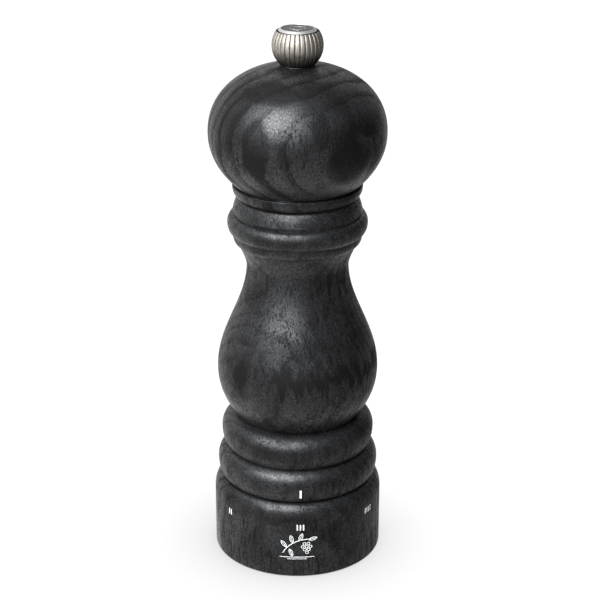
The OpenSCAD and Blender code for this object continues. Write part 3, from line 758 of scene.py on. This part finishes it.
def knob_disc():
    """The disc with its raised ring round eight dots."""
    low, top = DISC_TOP_Z - DISC_T, DISC_TOP_Z
    outline = [(0, low), (DISC_R, low), (DISC_R, top - 0.12), (DISC_R - 0.12, top)]
    outline += [(2.62, top), (2.55, top + 0.08), (2.3, top + 0.08), (2.23, top), (0, top)]
    piece = turn("knob_top", outline, 96, 25)
    dots = []
    for i in range(DOTS):
        a = math.tau * i / DOTS
        clear_bench()
        spot = (DOTS_R * math.cos(a) * MM, DOTS_R * math.sin(a) * MM, top * MM)
        bpy.ops.mesh.primitive_uv_sphere_add(segments=16, ring_count=8, radius=DOT_R * MM, location=spot)
        dot = bpy.context.object
        dot.scale.z = 0.5
        dots.append(settle(dot))
    whole = join([piece] + dots, "knob_top")
    whole.data.materials.append(disc_nickel())
    take(whole)
    bpy.ops.object.shade_smooth_by_angle(angle=math.radians(30))
    return whole


# ---------------------------------------------------------------------------------------------
# Printed marks
# ---------------------------------------------------------------------------------------------

MARK_TURN, MARK_PITCH = math.radians(1.9), math.radians(55)
INDEX_TURN = math.radians(2.15)
INDEX_Z, INDEX_H, INDEX_W = 30.2, 3.1, 0.68
BAR_Z, BAR_H, BAR_W, BAR_PITCH = 18.65, 2.1, 0.44, 1.02
PRINT_GAP = 2
INK_LIFT, INK_T = 0.012, 0.02
STROKE_STEP = 0.22
UPRIGHT_CUTS, LEVEL_CUTS = (4, 14), (48, 2)


def flat_bar(u, z, width, height, front_r, cuts=UPRIGHT_CUTS):
    """A thin bar in front of the case, cut fine enough to follow its curve."""
    clear_bench()
    bpy.ops.mesh.primitive_grid_add(x_subdivisions=cuts[0], y_subdivisions=cuts[1], size=1,
                                    location=(u * MM, -front_r * MM, z * MM), rotation=(math.pi / 2, 0, 0))
    bar = bpy.context.object
    bar.scale = (width * MM, height * MM, 1)
    return settle(bar)


def stroke(u, z, radius, start, end, width, front_r):
    """A line along part of a circle: its short end is spun about the circle's centre."""
    a = math.radians(start)
    inner = radius - width / 2
    line = first_point("stroke", (u + inner * math.cos(a), z + inner * math.sin(a)), front_r)
    step = (width * MM * math.cos(a), 0, width * MM * math.sin(a))
    bpy.ops.mesh.extrude_region_move(TRANSFORM_OT_translate={"value": step})
    bpy.ops.mesh.select_all(action="SELECT")
    sweep = math.radians(end - start)
    steps = max(4, round(abs(sweep) * radius / STROKE_STEP))
    centre = (u * MM, -front_r * MM, z * MM)
    bpy.ops.mesh.spin(steps=steps, angle=sweep, center=centre, axis=(0, 1, 0))
    weld()
    bpy.ops.object.mode_set(mode="OBJECT")
    return line


def printed(pieces, name, wood, turn_by=0.0):
    """Lays flat shapes on the wood, gives them the ink's thickness and turns them round the axis."""
    ink = join(pieces, name)
    wrap = ink.modifiers.new("wrap", "SHRINKWRAP")
    wrap.target = wood
    wrap.wrap_method = "PROJECT"
    wrap.use_project_y = True
    wrap.use_negative_direction = True
    wrap.use_positive_direction = True
    wrap.offset = INK_LIFT * MM
    keep(ink, wrap)
    edit(ink)
    weld()
    bpy.ops.object.mode_set(mode="OBJECT")
    inward = sum(face.normal.y for face in ink.data.polygons) >= 0
    if inward:
        edit(ink)
        bpy.ops.mesh.select_all(action="SELECT")
        bpy.ops.mesh.flip_normals()
        bpy.ops.object.mode_set(mode="OBJECT")
    wall = ink.modifiers.new("wall", "SOLIDIFY")
    wall.thickness = INK_T * MM
    wall.offset = 1
    keep(ink, wall)
    ink.rotation_euler.z = turn_by
    return settle(ink)


def grind_marks(wood):
    """One to six bars round the foot ring, three of them at the front."""
    marks = []
    for count in range(1, 7):
        places = [(i - (count - 1) / 2) * BAR_PITCH for i in range(count)]
        bars = [flat_bar(u, BAR_Z, BAR_W, BAR_H, FOOT_R + PRINT_GAP) for u in places]
        marks.append(printed(bars, f"mark_{count}", wood, MARK_TURN + (count - 3) * MARK_PITCH))
    return join(marks, "grind_marks")


def index_line(wood):
    """The index line on the lower bead."""
    bar = flat_bar(0, INDEX_Z, INDEX_W, INDEX_H, LOW_BEAD_R + PRINT_GAP)
    return printed([bar], "index_line", wood, INDEX_TURN)


def sprig(wood):
    """A pepper sprig over two ground lines: a stem, five leaves and a hanging bunch of corns."""
    r = FOOT_R + PRINT_GAP
    fine, bold = 0.2, 0.27
    lines = [stroke(3.4, 4.9, 9.3, 154, 82, bold, r)]
    leaves = ((-4.6, 12.4, 38), (-2.0, 14.3, 14), (1.1, 15.0, -22), (-2.2, 9.2, -160), (5.1, 14.3, -78))
    for u, z, lean in leaves:
        lines += leaf(u, z, 2.9, lean, fine, r)
    corns = ((2.3, 12.5), (3.6, 12.6), (1.7, 11.4), (3.0, 11.4),
             (4.3, 11.4), (2.4, 10.3), (3.7, 10.3), (3.1, 9.2))
    for u, z in corns:
        lines.append(stroke(u, z, 0.48, 0, 360, fine, r))
    lines.append(flat_bar(-0.2, 7.5, 11.6, 0.22, r, LEVEL_CUTS))
    lines.append(flat_bar(-0.2, 6.8, 6.6, 0.16, r, LEVEL_CUTS))
    return printed(lines, "sprig", wood)


def leaf(u, z, length, lean, width, front_r):
    """A leaf's two edges and its rib, leaning from upright by an angle."""
    edges = []
    bulge = 0.744
    radius = length / 2 / math.sin(bulge)
    reach = math.degrees(bulge)
    away = radius * math.cos(bulge)
    for side in (0, 180):
        a = math.radians(lean + side)
        mid = (u - away * math.cos(a), z - away * math.sin(a))
        middle = lean + side
        edges.append(stroke(mid[0], mid[1], radius, middle - reach, middle + reach, width, front_r))
    rib = length * 4
    a = math.radians(lean)
    mid = (u - rib * math.cos(a), z - rib * math.sin(a))
    edges.append(stroke(mid[0], mid[1], rib, lean - 6, lean + 5, width, front_r))
    return edges


# ---------------------------------------------------------------------------------------------
# Putting the mill together
# ---------------------------------------------------------------------------------------------

def fit(piece, body, slot, *nodes):
    """Puts a finished piece on its body, in place of the CAD nodes it stands for."""
    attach(piece, body)
    if nodes:
        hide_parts(*nodes)


def dress(material, *nodes):
    """Gives CAD nodes a finish."""
    for node in nodes:
        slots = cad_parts[node].data.materials
        slots.clear()
        slots.append(material)


RAW = raw_beech()
RIM = rim_nickel()
NICKEL = knob_nickel()

foot = foot_ring()
body = mill_body()
head = mill_head()
ribs = knob_ribs()
rim = knob_rim()
disc = knob_disc()

ribs.data.materials.append(NICKEL)
rim.data.materials.append(RIM)
take(ribs)
bpy.ops.object.shade_smooth_by_angle(angle=math.radians(60))

ink = white_ink()
marks = grind_marks(foot)
index = index_line(body)
motif = sprig(foot)
for mark in (marks, index, motif):
    mark.data.materials.append(ink)

knob = join([rim, ribs], "knob_metal")
fit(foot, "adjuster", "graphite_wood", "adjuster_ring")
fit(body, "body", "graphite_wood", "body_shell")
fit(head, "head", "graphite_wood", "head_shell")
fit(knob, "knob", "nickel", "knob")
fit(disc, "knob", "nickel", "knob_disc")
fit(marks, "adjuster", "graphite_wood")
fit(motif, "adjuster", "graphite_wood")
fit(index, "body", "graphite_wood")

dress(moulded_nylon(), "adjuster_insert", "base_cover", "burr_carrier", "mechanism_housing",
      "bearing_bridge")
dress(burr_steel(), "female_burr", "male_burr")
dress(drawn_steel("shaft_steel"), "drive_shaft")
dress(drawn_steel("sheet_steel", (0.6, 0.6, 0.6), 0.34, (5, 5, 5)), "drive_plate", "knob_washer",
      "thrust_washer")
dress(drawn_steel("screw_steel", (0.62, 0.61, 0.56), 0.26, (7, 7, 2)), "housing_screws",
      "drive_plate_screws")
dress(drawn_steel("spring_steel", (0.42, 0.42, 0.43), 0.28, (6, 6, 6)), "carrier_spring",
      "click_spring", "burr_clip", "shaft_circlip")
dress(brass("turned_brass", (0.80, 0.60, 0.27)), "knob_insert")
dress(brass("sintered_bronze", (0.52, 0.31, 0.15), 0.4), "bearing_bush")


# ---------------------------------------------------------------------------------------------
# Studio
# ---------------------------------------------------------------------------------------------

def floor():
    """A white glowing floor, a little grey where the mill stands: a shadow painted from ambient occlusion.
    """
    clear_bench()
    bpy.ops.mesh.primitive_plane_add(size=14)
    ground = bpy.context.object
    ground.name = "floor"
    paint = bpy.data.materials.new("studio_white")
    paint.use_nodes = True
    n = Nodes(paint.node_tree)
    n.tree.nodes.clear()
    # painted shadow: the floor's glow is dimmed by ambient occlusion close to the mill
    painted_shadow_ao = n.add("ShaderNodeAmbientOcclusion", {"samples": 16}, out="AO", sockets={"Distance": 0.06})
    glow = n.add("ShaderNodeEmission", sockets={"Strength": painted_shadow_ao * 0.68 + 0.42})
    n.add("ShaderNodeOutputMaterial", out=None, sockets={"Surface": glow})
    ground.data.materials.append(paint)
    ground.visible_glossy = False


def softbox(name, azimuth, elevation, distance, width, height, radiance, tint):
    """A rectangular soft light that looks at the middle of the mill."""
    lamp = bpy.data.lights.new(name, "AREA")
    lamp.shape = "RECTANGLE"
    lamp.size, lamp.size_y = width, height
    lamp.energy = radiance * math.pi * width * height
    lamp.color = tint
    box = bpy.data.objects.new(name, lamp)
    a, e = math.radians(azimuth), math.radians(elevation)
    middle = TOTAL_H / 2 * MM
    box.location = (distance * math.sin(a) * math.cos(e), -distance * math.cos(a) * math.cos(e),
                    middle + distance * math.sin(e))
    aim = box.location.copy()
    aim.z -= middle
    box.rotation_euler = aim.to_track_quat("Z", "Y").to_euler()
    bpy.context.scene.collection.objects.link(box)


def room():
    """The studio's walls and sweep: pale below, brighter from the left and behind, dark at the right."""
    world = bpy.data.worlds.new("studio")
    world.use_nodes = True
    n = Nodes(world.node_tree)
    n.tree.nodes.clear()
    x, y, z = n.axes(n.add("ShaderNodeTexCoord", out="Generated"))
    walls = (0.22 - x * 0.46 + y * 0.5).most(0.0)
    sweep = 1.07 - x * 0.6 + y * 0.15
    up = z * 0.5 + 0.5
    below = n.ramp(up, (0.44, 1.0), (0.5, 0.0), ease="EASE")
    # the light dips about the horizon, less so behind the mill and to its left
    dip = n.ramp(up, (0.05, 0.9), (0.2, 0.5), (0.3, 0.28), (0.5, 0.28), (0.62, 1.0), ease="EASE")
    dip = dip + (1 - dip) * (y * 0.55 - x * 0.15).most(0.0)
    level = (sweep * below + walls * (1 - below)) * dip
    seen = n.add("ShaderNodeLightPath", out="Is Camera Ray")
    glow = n.add("ShaderNodeBackground", sockets={"Strength": level.most(seen * 1.05)})
    n.add("ShaderNodeOutputWorld", out=None, sockets={"Surface": glow})
    bpy.context.scene.world = world


def camera(distance, elevation, target_z, lens, shift_x):
    """The camera, in front of the mill and looking down on it."""
    data = bpy.data.cameras.new("camera")
    data.lens = lens
    data.sensor_width = 36
    data.shift_x = shift_x
    eye = bpy.data.objects.new("camera", data)
    e = math.radians(elevation)
    eye.location = (0, -distance * math.cos(e), target_z + distance * math.sin(e))
    eye.rotation_euler = (math.pi / 2 - e, 0, 0)
    bpy.context.scene.collection.objects.link(eye)
    bpy.context.scene.camera = eye


bpy.context.scene.view_settings.view_transform = "Standard"
floor()
room()
softbox("key", azimuth=-29, elevation=42, distance=0.9, width=0.82, height=0.8, radiance=11.5,
        tint=(0.93, 0.965, 1.0))
camera(distance=0.57435, elevation=21.98, target_z=0.08857, lens=104.04, shift_x=0.004)
